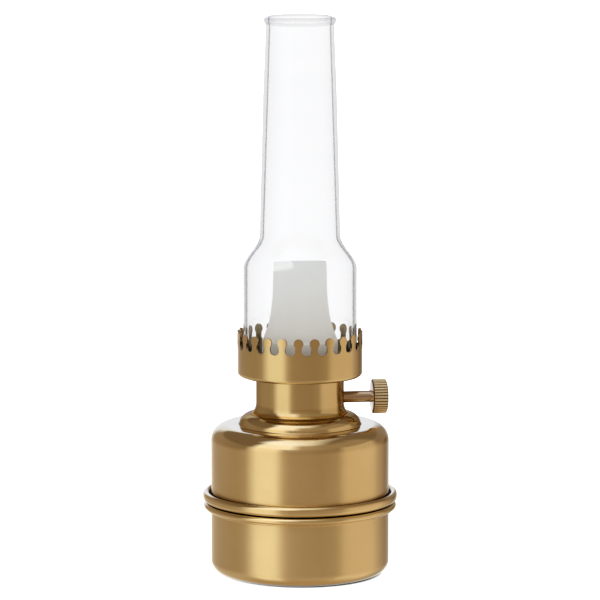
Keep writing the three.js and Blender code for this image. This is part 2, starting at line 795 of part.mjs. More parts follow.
const dimmer = assembly(
  piece("dimmer_bracket", dimmerBracket(), steel),
  piece("dimmer_housing", dimmerHousing(), steel),
  piece("dimmer_back", dimmerBack(), blackPlastic),
  piece("dimmer_nut", dimmerNut(), steel),
);

const power = assembly(
  piece("battery_chassis", batteryChassis(), blackPlastic),
  piece("battery_tray", batteryTray(), blackPlastic),
  piece("control_board", controlBoard(), boardGreen),
  ...postPlaces.map((at, i) => piece(`chassis_boss_${i + 1}`, chassisBoss(at), polishedBrass)),
  ...postPlaces.map((at, i) => piece(`chassis_screw_${i + 1}`, chassisScrew(at), steel)),
);

for (const row of [-1, 0, 1]) {
  power.add(
    piece(`cell_${row + 2}`, cell(row), cellWrap),
    piece(`plate_contact_${row + 2}`, plateContact(row), steel),
    piece(`spring_contact_${row + 2}`, springContact(row), steel),
  );
}

const leads = assembly(
  piece("battery_lead_plus", batteryLead(1), redLead),
  piece("battery_lead_minus", batteryLead(-1), blackLead),
  piece("dimmer_lead_1", dimmerLead(1), redLead),
  piece("dimmer_lead_2", dimmerLead(-1), blackLead),
  piece("light_lead_plus", lightLead(1), redLead),
  piece("light_lead_minus", lightLead(-1), blackLead),
);

const chimney = assembly(piece("glass_chimney", glassChimney(), clearGlass));

const control = assembly(
  piece("knob", knob(), polishedBrass),
  piece("spindle", spindle(), polishedBrass),
  piece("dimmer_rotor", dimmerRotor(), blackPlastic),
);

export default assembly(base, housing, light, dimmer, power, leads, chimney, control);
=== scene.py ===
"""A satin brass table lamp in the shape of an oil lamp.

Lengths in the shape code are millimetres, and become metres when a mesh is made. Lengths in the
materials are metres. The lamp's axis is Z, the knob points along +X, and the front is -Y.
"""

import math

import bpy
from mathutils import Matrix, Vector


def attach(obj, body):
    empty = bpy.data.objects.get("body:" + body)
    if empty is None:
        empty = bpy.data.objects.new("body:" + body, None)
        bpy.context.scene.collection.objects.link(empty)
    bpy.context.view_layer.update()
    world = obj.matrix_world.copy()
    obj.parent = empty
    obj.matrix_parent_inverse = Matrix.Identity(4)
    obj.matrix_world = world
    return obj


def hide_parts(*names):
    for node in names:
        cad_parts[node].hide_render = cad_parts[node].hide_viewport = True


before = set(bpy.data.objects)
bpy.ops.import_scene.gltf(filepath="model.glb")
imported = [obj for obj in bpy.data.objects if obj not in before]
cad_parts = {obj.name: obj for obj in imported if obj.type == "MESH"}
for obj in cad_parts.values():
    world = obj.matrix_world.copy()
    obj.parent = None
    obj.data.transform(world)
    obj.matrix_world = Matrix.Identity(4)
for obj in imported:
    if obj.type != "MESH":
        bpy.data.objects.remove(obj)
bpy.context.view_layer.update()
scene = bpy.context.scene
MM = 0.001
TAU = 2 * math.pi

# ------------------------------------------------------------------ node helpers


class Nodes:
    """A material's or the world's node tree, with short calls for the nodes used here."""

    def __init__(self, tree):
        self.tree = tree
        tree.nodes.clear()

    def add(self, kind, inputs=None, **settings):
        node = self.tree.nodes.new(kind)
        for key, value in settings.items():
            setattr(node, key, value)
        for key, value in (inputs or {}).items():
            if isinstance(value, bpy.types.NodeSocket):
                self.tree.links.new(value, node.inputs[key])
            else:
                node.inputs[key].default_value = value
        return node

    def math(self, operation, a, b=0.0, c=0.0):
        return self.add("ShaderNodeMath", {0: a, 1: b, 2: c}, operation=operation).outputs[0]

    def vector(self, operation, inputs):
        return self.add("ShaderNodeVectorMath", inputs, operation=operation).outputs

    def parts(self, vector):
        """A vector's X, Y and Z."""
        return self.add("ShaderNodeSeparateXYZ", {0: vector}).outputs

    def product(self, first, *others):
        """All the values multiplied: 1 only where every one of them is 1."""
        for other in others:
            first = self.math("MULTIPLY", first, other)
        return first

    def fade(self, value, start, full, smooth=False):
        """0 up to start, and 1 from full on. Full may lie below start."""
        kind = "SMOOTHSTEP" if smooth else "LINEAR"
        inputs = {0: value, 1: start, 2: full}
        return self.add("ShaderNodeMapRange", inputs, interpolation_type=kind).outputs[0]

    def spread(self, value, low, high):
        """A value that runs from 0 to 1, brought to low to high."""
        return self.add("ShaderNodeMapRange", {0: value, 3: low, 4: high}).outputs[0]

    def ramp(self, factor, stops):
        node = self.add("ShaderNodeValToRGB", {0: factor})
        elements = node.color_ramp.elements
        while len(elements) > 1:
            elements.remove(elements[0])
        for i, (place, colour) in enumerate(stops):
            stop = elements[0] if i == 0 else elements.new(place)
            stop.position = place
            stop.color = (*colour, 1)
        return node.outputs[0]

    def noise(self, vector, scale, detail, roughness):
        inputs = {"Vector": vector, "Scale": scale, "Detail": detail, "Roughness": roughness}
        return self.add("ShaderNodeTexNoise", inputs).outputs[0]

    def mix(self, factor, a, b):
        """Colour a where the factor is 0, and b where it is 1."""
        return self.add("ShaderNodeMix", {0: factor, 6: a, 7: b}, data_type="RGBA").outputs[2]

    def bump(self, height, strength, distance):
        inputs = {"Strength": strength, "Distance": distance, "Height": height}
        return self.add("ShaderNodeBump", inputs).outputs[0]

    def point(self):
        """The point on the surface, from the lamp's foot."""
        return self.add("ShaderNodeTexCoord").outputs["Object"]

    def height(self):
        return self.parts(self.point())[2]


def new_material(name):
    material = bpy.data.materials.new(name)
    material.use_nodes = True
    return material, Nodes(material.node_tree)


def surface(nodes, inputs):
    """The surface's shader and the material's output, which is returned."""
    shader = nodes.add("ShaderNodeBsdfPrincipled", inputs)
    output = nodes.add("ShaderNodeOutputMaterial")
    nodes.tree.links.new(shader.outputs[0], output.inputs["Surface"])
    return output


# ------------------------------------------------------------------ places on the surface


def around_axis(nodes, axis, centre):
    """A point's two offsets from an axis, its distance from it, and its place along it."""
    offset = nodes.vector("SUBTRACT", {0: nodes.point(), 1: centre})[0]
    parts = nodes.parts(offset)
    order = {"Z": (0, 1, 2), "X": (1, 2, 0)}[axis]
    across, side, along = (parts[i] for i in order)
    square = nodes.math("MULTIPLY", across, across)
    radius = nodes.math("SQRT", nodes.math("MULTIPLY_ADD", side, side, square))
    return across, side, radius, along


def from_axis(nodes, axis="Z", centre=(0, 0, 0)):
    """A point's distance from the axis, and its place along the axis."""
    return around_axis(nodes, axis, centre)[2:]


def polished_rounds(nodes, axis):
    """0 on a flank that runs along the axis, and 1 where the surface turns to face along it."""
    normal = nodes.add("ShaderNodeTexCoord").outputs["Normal"]
    along = nodes.math("ABSOLUTE", nodes.parts(normal)["XYZ".index(axis)])
    return nodes.fade(along, 0.06, 0.45, smooth=True)


# A mask is 0 on the open surface and 1 in the place that it names.


def rim_groove(nodes):
    """1 in the deep groove between the font's wall and its curled edge, where shade is painted."""
    wall, foot = 0.0388, 0.0335
    radius, height = from_axis(nodes)
    inwards = nodes.fade(radius, 0.0413, 0.0409)
    low = nodes.fade(height, 0.0373, 0.0367)
    beyond_wall = nodes.math("GREATER_THAN", radius, wall)
    above_foot = nodes.math("GREATER_THAN", height, foot)
    return nodes.product(inwards, low, beyond_wall, above_foot)


def parting(nodes):
    """1 deep in the parting between the font's curled edge and the cup's rolled lip, where shade is
    painted.
    """
    bottom, top = 0.0321, 0.0329
    radius, height = from_axis(nodes)
    inwards = nodes.fade(radius, 0.0426, 0.0420)
    above = nodes.math("GREATER_THAN", height, bottom)
    below = nodes.math("LESS_THAN", height, top)
    return nodes.product(inwards, above, below)


def flare_foot(nodes):
    """1 at the foot of the neck's flare, in the corner that it makes with the collar, where shade is
    painted.
    """
    return nodes.fade(nodes.height(), 0.0742, 0.0737)


def resting_edge(nodes):
    """1 at the foot of the cup's rounded edge, which rests in its own shade."""
    return nodes.fade(nodes.height(), 0.0018, 0.0011)


def shaded_floor(nodes):
    """1 under the crown's floor, where shade and a duller reflection are painted."""
    return nodes.fade(nodes.height(), 0.0900, 0.0895)


def tooth_edge(nodes):
    """1 on the cut edge of the crown's teeth, where the surface does not face out or in, and where
    shade is painted.
    """
    roots = 0.1012
    spot = nodes.add("ShaderNodeTexCoord").outputs
    flat = nodes.vector("MULTIPLY", {0: spot["Object"], 1: (1, 1, 0)})[0]
    outwards = nodes.vector("NORMALIZE", {0: flat})[0]
    facing = nodes.vector("DOT_PRODUCT", {0: spot["Normal"], 1: outwards})["Value"]
    edge = nodes.fade(nodes.math("ABSOLUTE", facing), 0.93, 0.7)
    return nodes.product(edge, nodes.math("GREATER_THAN", nodes.height(), roots))


def knob_groove(nodes):
    """1 at the bottom of the grooves between the knob's ribs, and on its chamfers, where shade is
    painted.
    """
    radius, _ = from_axis(nodes, "X", KNOB_AXIS)
    inner = nodes.fade(radius, 0.0070, 0.0071)
    outer = nodes.fade(radius, 0.00772, 0.00745)
    return nodes.product(inner, outer)


def knob_face(nodes):
    """1 on the knob's inner face, where a pale reflection is painted."""
    inner_side = 0.0325
    radius, along = from_axis(nodes, "X", KNOB_AXIS)
    face = nodes.fade(radius, 0.0069, 0.0067)
    return nodes.product(face, nodes.math("LESS_THAN", along, inner_side))


# ------------------------------------------------------------------ materials


def turned_grain(nodes, axis, centre):
    """A noise that runs in fine rings round an axis: the marks of a lathe or a polishing wheel."""
    pitch, drift = 3000, 22
    across, side, radius, along = around_axis(nodes, axis, centre)
    slow = nodes.math("MULTIPLY", across, drift)
    first = nodes.math("MULTIPLY_ADD", radius, pitch, slow)
    second = nodes.math("MULTIPLY_ADD", along, pitch, nodes.math("MULTIPLY", side, drift))
    rings = nodes.add("ShaderNodeCombineXYZ", {0: first, 1: second, 2: slow}).outputs[0]
    return nodes.noise(rings, 1.0, 3.0, 0.6)


def brass(
    name,
    light,
    deep,
    flank,
    rounds,
    axis="Z",
    centre=(0, 0, 0),
    painted_shade_and_reflection=(),
    edge=(1, 1, 1),
):
    """Brass with a lathe's fine rings, and a slow drift in colour from light to deep.

    flank and rounds are its roughness where it runs along the axis, brushed, and where it turns,
    polished. Each pair of a mask and a colour paints that colour where the mask is: painted shade
    in grooves, creases and gaps, and a painted reflection on the knob's face. edge tints what the
    brass shows at a grazing angle.
    """
    material, nodes = new_material(name)
    point = nodes.point()
    rings = turned_grain(nodes, axis, centre)
    clouds = nodes.noise(point, 38.0, 4.0, 0.6)
    smears = nodes.noise(point, 160.0, 3.0, 0.55)
    tone = nodes.ramp(clouds, [(0.3, deep), (0.68, light)])
    # Painted shade and painted reflection: each colour is laid over the tone where its mask is.
    for mask, colour in painted_shade_and_reflection:
        tone = nodes.mix(mask(nodes), tone, (*colour, 1))
    # Rings and smears each add up to this much, so the base starts lower.
    wear, rounds_wear = 0.03, 0.02
    base = nodes.spread(polished_rounds(nodes, axis), flank - wear, rounds - rounds_wear)
    worn = nodes.math("MULTIPLY_ADD", rings, wear, base)
    rough = nodes.math("MULTIPLY_ADD", smears, wear, worn)
    tangent = nodes.add("ShaderNodeTangent", direction_type="RADIAL", axis=axis)
    surface(
        nodes,
        {
            "Base Color": tone,
            "Metallic": 1.0,
            "Specular Tint": (*edge, 1),
            "Roughness": rough,
            "Anisotropic": 0.85,
            "Anisotropic Rotation": 0.25,
            "Normal": nodes.bump(rings, strength=0.03, distance=0.0002),
            "Tangent": tangent.outputs[0],
        },
    )
    return material


def clear_glass():
    """Clear glass, greyer where the line of sight runs along the wall, with a polished skin and
    a darker rim at its top."""
    rim = 0.2462
    material, nodes = new_material("clear_glass")
    height = nodes.height()
    drawn = nodes.noise(nodes.math("MULTIPLY", height, 60.0), 1.0, 2.0, 0.4)
    tint = nodes.ramp(drawn, [(0.3, (0.992, 0.994, 0.994)), (0.7, (0.998, 0.999, 0.999))])
    above_rim = nodes.math("GREATER_THAN", height, rim)
    level = nodes.product(polished_rounds(nodes, "Z"), above_rim)
    tint = nodes.mix(level, tint, (0.80, 0.80, 0.80, 1))
    output = surface(
        nodes,
        {
            "Base Color": tint,
            "Roughness": 0.0,
            "IOR": 1.04,
            "Transmission Weight": 1.0,
            "Coat Weight": 0.4,
        },
    )
    inputs = {"Color": (0.42, 0.43, 0.45, 1), "Density": 30.0}
    inside = nodes.add("ShaderNodeVolumeAbsorption", inputs)
    nodes.tree.links.new(inside.outputs[0], output.inputs["Volume"])
    return material


def frosted():
    """Frosted diffuser: matt and milky, with a fine blasted skin and a tone that is darker and warmer
    low down, a faint painted glow that stands in for the light that it passes on, warmer low down,
    and a painted highlight at its top left."""
    foot, tip = 0.095, 0.14
    material, nodes = new_material("frosted_diffuser")
    point = nodes.point()
    skin = nodes.noise(point, 2600.0, 2.0, 0.5)
    cloud = nodes.noise(point, 60.0, 3.0, 0.5)
    side, _, height = nodes.parts(point)
    up = nodes.fade(height, foot, tip)
    mixed = nodes.math("MULTIPLY_ADD", cloud, 0.12, up)
    tone = nodes.ramp(
        mixed,
        [
            (0.0, (0.53, 0.49, 0.42)),
            (0.45, (0.64, 0.62, 0.57)),
            (1.0, (0.715, 0.725, 0.695)),
        ],
    )
    # Painted glow: emission that stands in for the light that the diffuser passes on, stronger and
    # warmer low down.
    painted_glow = nodes.ramp(
        up,
        [
            (0.0, (0.08, 0.074, 0.062)),
            (0.4, (0.05, 0.048, 0.043)),
            (1.0, (0.02, 0.02, 0.02)),
        ],
    )
    # Painted highlight: a brighter glow at the top left.
    slope = nodes.math("MULTIPLY_ADD", side, -0.2, height)
    above = nodes.fade(slope, 0.1383, 0.1397, smooth=True)
    left = nodes.fade(side, -0.0030, -0.0044, smooth=True)
    painted_glow = nodes.mix(nodes.product(above, left), painted_glow, (0.19, 0.19, 0.19, 1))
    surface(
        nodes,
        {
            "Base Color": tone,
            "Roughness": nodes.spread(skin, 0.42, 0.55),
            "Emission Color": painted_glow,
            "Emission Strength": 1.0,
            "Normal": nodes.bump(skin, strength=0.12, distance=0.0001),
        },
    )
    return material


def plastic(name, light, deep, roughness, grit=900.0, strength=0.15):
    """Moulded plastic: a fine spark-eroded texture and a slight drift in tone."""
    vary = 0.06
    material, nodes = new_material(name)
    point = nodes.point()
    fine = nodes.noise(point, grit, 3.0, 0.6)
    cloud = nodes.noise(point, 70.0, 2.0, 0.5)
    surface(
        nodes,
        {
            "Base Color": nodes.ramp(cloud, [(0.3, deep), (0.7, light)]),
            "Roughness": nodes.spread(fine, roughness - vary, roughness + vary),
            "Normal": nodes.bump(fine, strength, distance=0.0001),
        },
    )
    return material


def plated_steel():
    """Zinc-plated sheet and screws: bright, with a faint drag up the sheet."""
    material, nodes = new_material("plated_steel")
    point = nodes.point()
    stretched = nodes.vector("MULTIPLY", {0: point, 1: (3500, 3500, 300)})[0]
    drag = nodes.noise(stretched, 1.0, 2.0, 0.5)
    cloud = nodes.noise(point, 90.0, 3.0, 0.5)
    surface(
        nodes,
        {
            "Base Color": nodes.ramp(cloud, [(0.3, (0.52, 0.53, 0.54)), (0.7, (0.64, 0.64, 0.63))]),
            "Metallic": 1.0,
            "Roughness": nodes.spread(drag, 0.24, 0.36),
            "Normal": nodes.bump(drag, strength=0.06, distance=0.0001),
        },
    )
    return material


def felt():
    """Short dark felt: a fine nap with lighter fibres on top."""
    material, nodes = new_material("felt")
    point = nodes.point()
    nap = nodes.noise(point, 1700.0, 5.0, 0.7)
    tufts = nodes.noise(point, 240.0, 3.0, 0.6)
    both = nodes.math("MULTIPLY_ADD", tufts, 0.4, nodes.math("MULTIPLY", nap, 0.6))
    surface(
        nodes,
        {
            "Base Color": nodes.ramp(
                both,
                [(0.35, (0.010, 0.010, 0.012)), (0.62, (0.035, 0.034, 0.037))],
            ),
            "Roughness": 0.95,
            "Sheen Weight": 0.3,
            "Normal": nodes.bump(nap, strength=0.7, distance=0.0004),
        },
    )
    return material


def cell_skin():
    """The cells' wrap: a dark body and a copper-coloured end, with a faintly wavy border."""
    material, nodes = new_material("cell_wrap")
    point = nodes.point()
    fine = nodes.noise(point, 500.0, 2.0, 0.5)
    wavy = nodes.math("MULTIPLY_ADD", fine, 0.0002, nodes.parts(point)[0])
    tone = nodes.ramp(
        nodes.fade(wavy, -0.026, 0.026),
        [
            (0.0, (0.02, 0.05, 0.09)),
            (0.74, (0.03, 0.07, 0.12)),
            (0.75, (0.55, 0.27, 0.13)),
            (1.0, (0.60, 0.31, 0.16)),
        ],
    )
    rough = nodes.spread(fine, 0.24, 0.34)
    surface(nodes, {"Base Color": tone, "Metallic": 0.75, "Roughness": rough})
    return material


KNOB_Z = 79.1
KNOB_AXIS = (0.0, 0.0, KNOB_Z * MM)

# Brass tones, each lighter then deeper, and the colours of painted shade and of a painted reflection.
BODY_TONES = (0.80, 0.60, 0.29), (0.74, 0.54, 0.25)
CUP_TONES = (0.82, 0.62, 0.30), (0.77, 0.57, 0.265)
NECK_TONES = (0.72, 0.54, 0.255), (0.67, 0.49, 0.22)
KNOB_TONES = (0.93, 0.74, 0.42), (0.87, 0.68, 0.37)
SPINDLE_TONES = (0.58, 0.42, 0.27), (0.50, 0.35, 0.21)
# Painted shade: near black, for the font's groove, the parting, the cup's foot and the knob's grooves.
PAINTED_DEEP_SHADE = (0.075, 0.042, 0.018)
# Painted shade for the foot of the neck's flare.
FLARE_SHADE = (0.62, 0.36, 0.09)
# Painted shade and a duller painted reflection for the underside of the crown's floor.
FLOOR_SHADE = (0.5, 0.43, 0.33)
# Painted shade on the cut edges of the crown's teeth.
TOOTH_EDGE_SHADE = (0.26, 0.175, 0.09)
# Painted reflection: near white, for the knob's inner face.
PAINTED_FACE_REFLECTION = (0.96, 0.91, 0.88)

# Painted shade in the groove above the font's curled edge and in the parting below it.
SATIN = brass(
    "satin_brass",
    *BODY_TONES,
    flank=0.24,
    rounds=0.065,
    painted_shade_and_reflection=[(rim_groove, PAINTED_DEEP_SHADE), (parting, PAINTED_DEEP_SHADE)],
)
COLLAR_SATIN = brass(
    "satin_brass_collar",
    *BODY_TONES,
    flank=0.24,
    rounds=0.065,
    edge=(0.40, 0.32, 0.28),
)
# Painted shade in the parting and at the foot of the cup's rounded edge.
CUP_SATIN = brass(
    "satin_brass_cup",
    *CUP_TONES,
    flank=0.32,
    rounds=0.055,
    painted_shade_and_reflection=[(parting, PAINTED_DEEP_SHADE), (resting_edge, PAINTED_DEEP_SHADE)],
)
# Painted shade at the foot of the neck's flare.
NECK_SATIN = brass(
    "satin_brass_neck",
    *NECK_TONES,
    flank=0.2,
    rounds=0.08,
    painted_shade_and_reflection=[(flare_foot, FLARE_SHADE)],
    edge=(0.52, 0.43, 0.37),
)
# Painted shade under the crown's floor and on the cut edges of its teeth.
CROWN_SATIN = brass(
    "satin_brass_crown",
    *NECK_TONES,
    flank=0.2,
    rounds=0.08,
    painted_shade_and_reflection=[(shaded_floor, FLOOR_SHADE), (tooth_edge, TOOTH_EDGE_SHADE)],
)
# Painted shade in the grooves between the ribs, and a pale painted reflection on the inner face.
KNOB_BRASS = brass(
    "knob_brass",
    *KNOB_TONES,
    flank=0.2,
    rounds=0.12,
    axis="X",
    centre=KNOB_AXIS,
    painted_shade_and_reflection=[(knob_groove, PAINTED_DEEP_SHADE), (knob_face, PAINTED_FACE_REFLECTION)],
)
BRONZE = brass(
    "spindle_brass",
    *SPINDLE_TONES,
    flank=0.12,
    rounds=0.12,
    axis="X",
    centre=KNOB_AXIS,
)
GLASS = clear_glass()
FROST = frosted()
STEEL = plated_steel()
FELT = felt()
WRAP = cell_skin()
WHITE = plastic("white_plastic", (0.78, 0.78, 0.75), (0.74, 0.74, 0.71), roughness=0.45)
BLACK = plastic("black_plastic", (0.024, 0.024, 0.026), (0.016, 0.016, 0.018), roughness=0.48)
WHITE_BOARD = plastic(
    "white_board",
    (0.82, 0.82, 0.80),
    (0.78, 0.78, 0.76),
    roughness=0.35,
    grit=400.0,
    strength=0.04,
)
GREEN = plastic(
    "green_board",
    (0.02, 0.16, 0.07),
    (0.012, 0.11, 0.05),
    roughness=0.35,
    grit=300.0,
    strength=0.05,
)
GEL = plastic(
    "phosphor_gel",
    (0.85, 0.62, 0.10),
    (0.78, 0.55, 0.08),
    roughness=0.3,
    grit=800.0,
    strength=0.05,
)
RED = plastic(
    "red_insulation",
    (0.42, 0.02, 0.015),
    (0.34, 0.015, 0.012),
    roughness=0.4,
    strength=0.04,
)
BLACK_LEAD = plastic(
    "black_insulation",
    (0.015, 0.015, 0.016),
    (0.01, 0.01, 0.011),
    roughness=0.4,
    strength=0.04,
)

# ------------------------------------------------------------------ shape helpers

# Faces that meet at more than this many degrees keep a sharp edge.
SHARP = 34


def piece(name, shape, body, material, replaces, angle=SHARP):
    """A piece from corners and faces, smooth but for edges sharper than the angle. It stands for
    the nodes that it replaces."""
    corners, faces = shape
    mesh = bpy.data.meshes.new(name)
    mesh.from_pydata([Vector(c) * MM for c in corners], [], faces)
    mesh.update()
    mesh.validate()
    mesh.materials.append(material)
    smooth(mesh, angle)
    made = bpy.data.objects.new(name, mesh)
    scene.collection.objects.link(made)
    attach(made, body)
    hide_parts(*replaces)
    return made


def smooth(mesh, angle):
    mesh.shade_smooth()
    mesh.set_sharp_from_angle(angle=math.radians(angle))


def arc(r, z, radius, start, end, steps):
    """Points along an arc round (r, z), from start to end in degrees."""
    turn = math.radians(end - start) / steps
    first = math.radians(start)
    return [
        (r + radius * math.cos(first + turn * i), z + radius * math.sin(first + turn * i))
        for i in range(steps + 1)
    ]


def held_edges(profile, closed):
    """The profile with a point just inside each end of its long runs, so that flats stay flat."""
    near, long = 0.12, 0.72
    out = []
    count = len(profile)
    for i in range(count if closed else count - 1):
        a, b = Vector(profile[i]), Vector(profile[(i + 1) % count])
        out.append(tuple(a))
        if (b - a).length > long:
            step = (b - a).normalized() * near
            out += [tuple(a + step), tuple(b - step)]
    if not closed:
        out.append(tuple(profile[-1]))
    return out


def grid(rings, around):
    """Faces between rings of corners that were made one ring after another."""
    faces = []
    for row in range(rings - 1):
        k = row * around
        for i in range(around):
            j = (i + 1) % around
            faces.append([k + i, k + j, k + around + j, k + around + i])
    return faces


def lathe(profile, segments=160):
    """Corners and faces of a profile turned about Z. It runs up the outside and down the inside,
    and either starts and ends on the axis or closes on itself."""
    on_axis = 1e-6
    closed = profile[0][0] > on_axis
    corners, rows = [], []
    for r, z in held_edges(profile, closed):
        if r < on_axis:
            rows.append([len(corners)] * segments)
            corners.append((0, 0, z))
            continue
        rows.append(range(len(corners), len(corners) + segments))
        for i in range(segments):
            angle = TAU * i / segments
            corners.append((r * math.cos(angle), r * math.sin(angle), z))
    if closed:
        rows.append(rows[0])
    faces = []
    for low, high in zip(rows, rows[1:]):
        for i in range(segments):
            j = (i + 1) % segments
            face = [low[i], low[j], high[j], high[i]]
            faces.append([c for k, c in enumerate(face) if c != face[k - 1]])
    return corners, faces


def on_knob_axis(shape):
    """Turns a shape about Z into one about the knob's axis: its height becomes X."""
    corners, faces = shape
    return [(z, y, KNOB_Z - x) for x, y, z in corners], faces


def joined(*shapes):
    """Several shapes as one."""
    corners, faces = [], []
    for some_corners, some_faces in shapes:
        offset = len(corners)
        corners += some_corners
        faces += [[c + offset for c in face] for face in some_faces]
    return corners, faces


def rod(path, radius, sides):
    """A closed round rod that follows a path of points."""
    path = [Vector(p) for p in path]
    corners = []
    normal = None
    for i, place in enumerate(path):
        ahead = (path[min(i + 1, len(path) - 1)] - path[max(i - 1, 0)]).normalized()
        if normal is None:
            normal = ahead.orthogonal().normalized()
        normal = (normal - ahead * normal.dot(ahead)).normalized()
        other = ahead.cross(normal)
        for k in range(sides):
            angle = TAU * k / sides
            outwards = normal * math.cos(angle) + other * math.sin(angle)
            corners.append(tuple(place + radius * outwards))
    faces = grid(len(path), sides)
    faces.append(list(range(sides))[::-1])
    faces.append(list(range(len(corners) - sides, len(corners))))
    return corners, faces


def bevel(obj, width, segments, angle):
    modifier = obj.modifiers.new("soft_edges", "BEVEL")
    modifier.width = width * MM
    modifier.segments = segments
    modifier.limit_method = "ANGLE"
    modifier.angle_limit = math.radians(angle)
    modifier.harden_normals = False


def weld_poles(obj):
    """Joins the corners of a ring that has closed to a point."""
    weld = obj.modifiers.new("poles", "WELD")
    weld.merge_threshold = 0.00001


# ------------------------------------------------------------------ base cup and foot

# Radius of the cup's and the font's walls, and thickness of the brass sheet.
BODY_R = 39.9
SHEET = 0.8


def base_cup():
    """A cup with a rounded bottom edge and a lip rolled outwards."""
    corner, foot = 5.5, 0.4
    lip, lip_z, rim = 1.6, 29.2, 43.2
    profile = [
        (0, 1.3),
        (33.3, 1.3),
        (33.5, 1.1),
        (33.7, 0.5),
        (33.9, foot),
        *arc(BODY_R - corner, foot + corner, corner, -90, 0, 14),
        (BODY_R, 28.1),
        *arc(BODY_R + 0.5, 28.1, 0.5, 180, 100, 4),
        (40.4, lip_z),
        *arc(rim - lip, lip_z + lip, lip, -90, 85, 14),
        (41.0, 32.4),
        (39.3, 32.4),
        (39.1, 32.2),
        *arc(BODY_R - corner, foot + corner, corner - SHEET, 0, -60, 8),
        (33, 2.1),
        (0, 2.1),
    ]
    piece("cup_shell", lathe(profile), "base", CUP_SATIN, ["base_cup"])


def foot_pad():
    """A disc of felt with soft edges."""
    profile = [(0, 0), (32.5, 0), (32.85, 0.15), (33, 0.5), (33, 0.9), (32.7, 1.2), (0, 1.2)]
    piece("foot_felt", lathe(profile, 96), "base", FELT, ["foot_pad"])


# ------------------------------------------------------------------ font, collar and neck


def font_shell():
    """The tank: a wall with a curled edge at its foot, a round shoulder and a flat top."""
    corner, top, hole = 7.0, 67.4, 17.8
    rim, curl_foot, curl_top = 43.6, 32.8, 37.3
    low, high = 1.9, 1.5
    profile = [
        (39.1, curl_foot + 0.1),
        (39.2, curl_foot),
        *arc(rim - low, curl_foot + low, low, -90, 0, 10),
        *arc(rim - high, curl_top - high, high, 0, 180, 16),
        (rim - 2 * high, 34.5),
        (40.4, 34.2),
        (40.1, 34.2),
        (BODY_R, 34.5),
        *arc(BODY_R - corner, top - corner, corner, 0, 90, 24),
        (hole + 0.3, top),
        (hole, top - 0.2),
        (hole, top - 0.7),
        *arc(BODY_R - corner, top - corner, corner - SHEET, 90, 0, 12),
    ]
    piece("font_body", lathe(profile), "lamp_body", SATIN, ["font_shell"])


def neck_collar():
    """A domed ring that sits on the font, with a small rounded foot."""
    flat, wide, belt, rise, fullness = 21.2, 27.2, 67.5, 4.9, 0.94
    foot, foot_r = 67.35, 0.4
    first, sweep, steps = 6, 66, 20
    dome = []
    for i in range(steps + 1):
        angle = math.radians(first + sweep * i / steps)
        out = (wide - flat) * math.cos(angle) ** fullness
        up = rise * math.sin(angle) ** fullness
        dome.append((flat + out, belt + up))
    profile = [
        (25.8, foot),
        (wide + foot_r, foot),
        *arc(wide + foot_r, foot + 0.05 + foot_r, foot_r, -90, -170, 8),
        *dome,
        (22.75, 72.33),
        (22.5, 72.38),
        (22.45, 72.3),
        (22.45, 72.15),
        (18.0, 72.15),
        (17.8, 72.0),
        (17.8, 71.5),
        (21.4, 71.2),
        (24.6, 69.8),
        (26.0, 67.9),
    ]
    piece("collar_dome", lathe(profile), "lamp_body", COLLAR_SATIN, ["neck_collar"])


def neck_tube():
    """A plain tube with a narrower tail, a foot that flares onto the collar, a flat top with a
    hole for the leads, and a hole for the spindle."""
    outer, inner, tail_outer, tail_inner = 19.7, 18.9, 17.5, 16.3
    top_hole, top = 6, 89.1
    flare, flare_z = 6.5, 77.1
    profile = [
        (tail_inner, 58),
        (tail_outer, 58),
        (tail_outer, 72.3),
        (22.2, 72.3),
        (22.4, 72.4),
        (22.3, 72.5),
        *arc(21.99, 73.56, 1.0, -95, -140, 6),
        *arc(outer + flare, flare_z, flare, -142, -180, 11),
        (outer, top - 0.4),
        (outer - 0.4, top),
        (top_hole, top),
        (top_hole, top - SHEET),
        (inner, top - SHEET),
        (inner, 75.1),
        (tail_inner, 73.1),
    ]
    made = piece("neck_body", lathe(profile), "lamp_body", NECK_SATIN, ["neck_tube"])
    bore = 2.8
    corners, faces = on_knob_axis(lathe([(0, 17), (bore, 17), (bore, 23), (0, 23)], 48))
    cutter = bpy.data.meshes.new("spindle_hole")
    cutter.from_pydata([Vector(c) * MM for c in corners], [], faces)
    drill = bpy.data.objects.new("spindle_hole", cutter)
    scene.collection.objects.link(drill)
    cut = made.modifiers.new("hole", "BOOLEAN")
    cut.object = drill
    cut.operation = "DIFFERENCE"
    cut.solver = "EXACT"
    depsgraph = bpy.context.evaluated_depsgraph_get()
    drilled = bpy.data.meshes.new_from_object(made.evaluated_get(depsgraph))
    made.modifiers.clear()
    made.data = drilled
    smooth(drilled, SHARP)
    bpy.data.objects.remove(drill)


# ------------------------------------------------------------------ crown gallery

CROWN_R = 28.0
CROWN_FLOOR = 89.4
# Heights of the gaps' bottoms and of the teeth's tips.
VALLEY, TIP = 102.3, 109.8
# The first tooth stands this many degrees round from +X.
TOOTH_PHASE = 5.6
TEETH = 24
# Faces across one tooth.
TOOTH_STEPS = 10


def tooth_outline():
    """(height, half width) up one tooth: rounded root, straight waist and round head."""
    half, waist, head, deep = math.pi * CROWN_R / TEETH, 1.47, 2.22, 1.9
    neck = [
        (z, half - (half - waist) * math.sqrt(1 - (1 - z / deep) ** 2))
        for z in (0.03, 0.12, 0.28, 0.5, 0.8, 1.2, deep)
    ]
    neck += [(2.5, waist), (3.05, waist + 0.02), (3.4, waist + 0.08)]
    middle = TIP - VALLEY - head
    first, sweep, steps = -44, 133, 12
    turns = [math.radians(first + sweep * i / steps) for i in range(steps + 1)]
    round_head = [(middle + head * math.sin(a), head * math.cos(a)) for a in turns]
    return [(VALLEY + z, w) for z, w in neck + round_head]


def crown_point(u, r, z, tooth):
    """The place u along the rim from a tooth's middle."""
    angle = math.radians(TOOTH_PHASE) + TAU * tooth / TEETH + u / CROWN_R
    return (r * math.cos(angle), r * math.sin(angle), z)


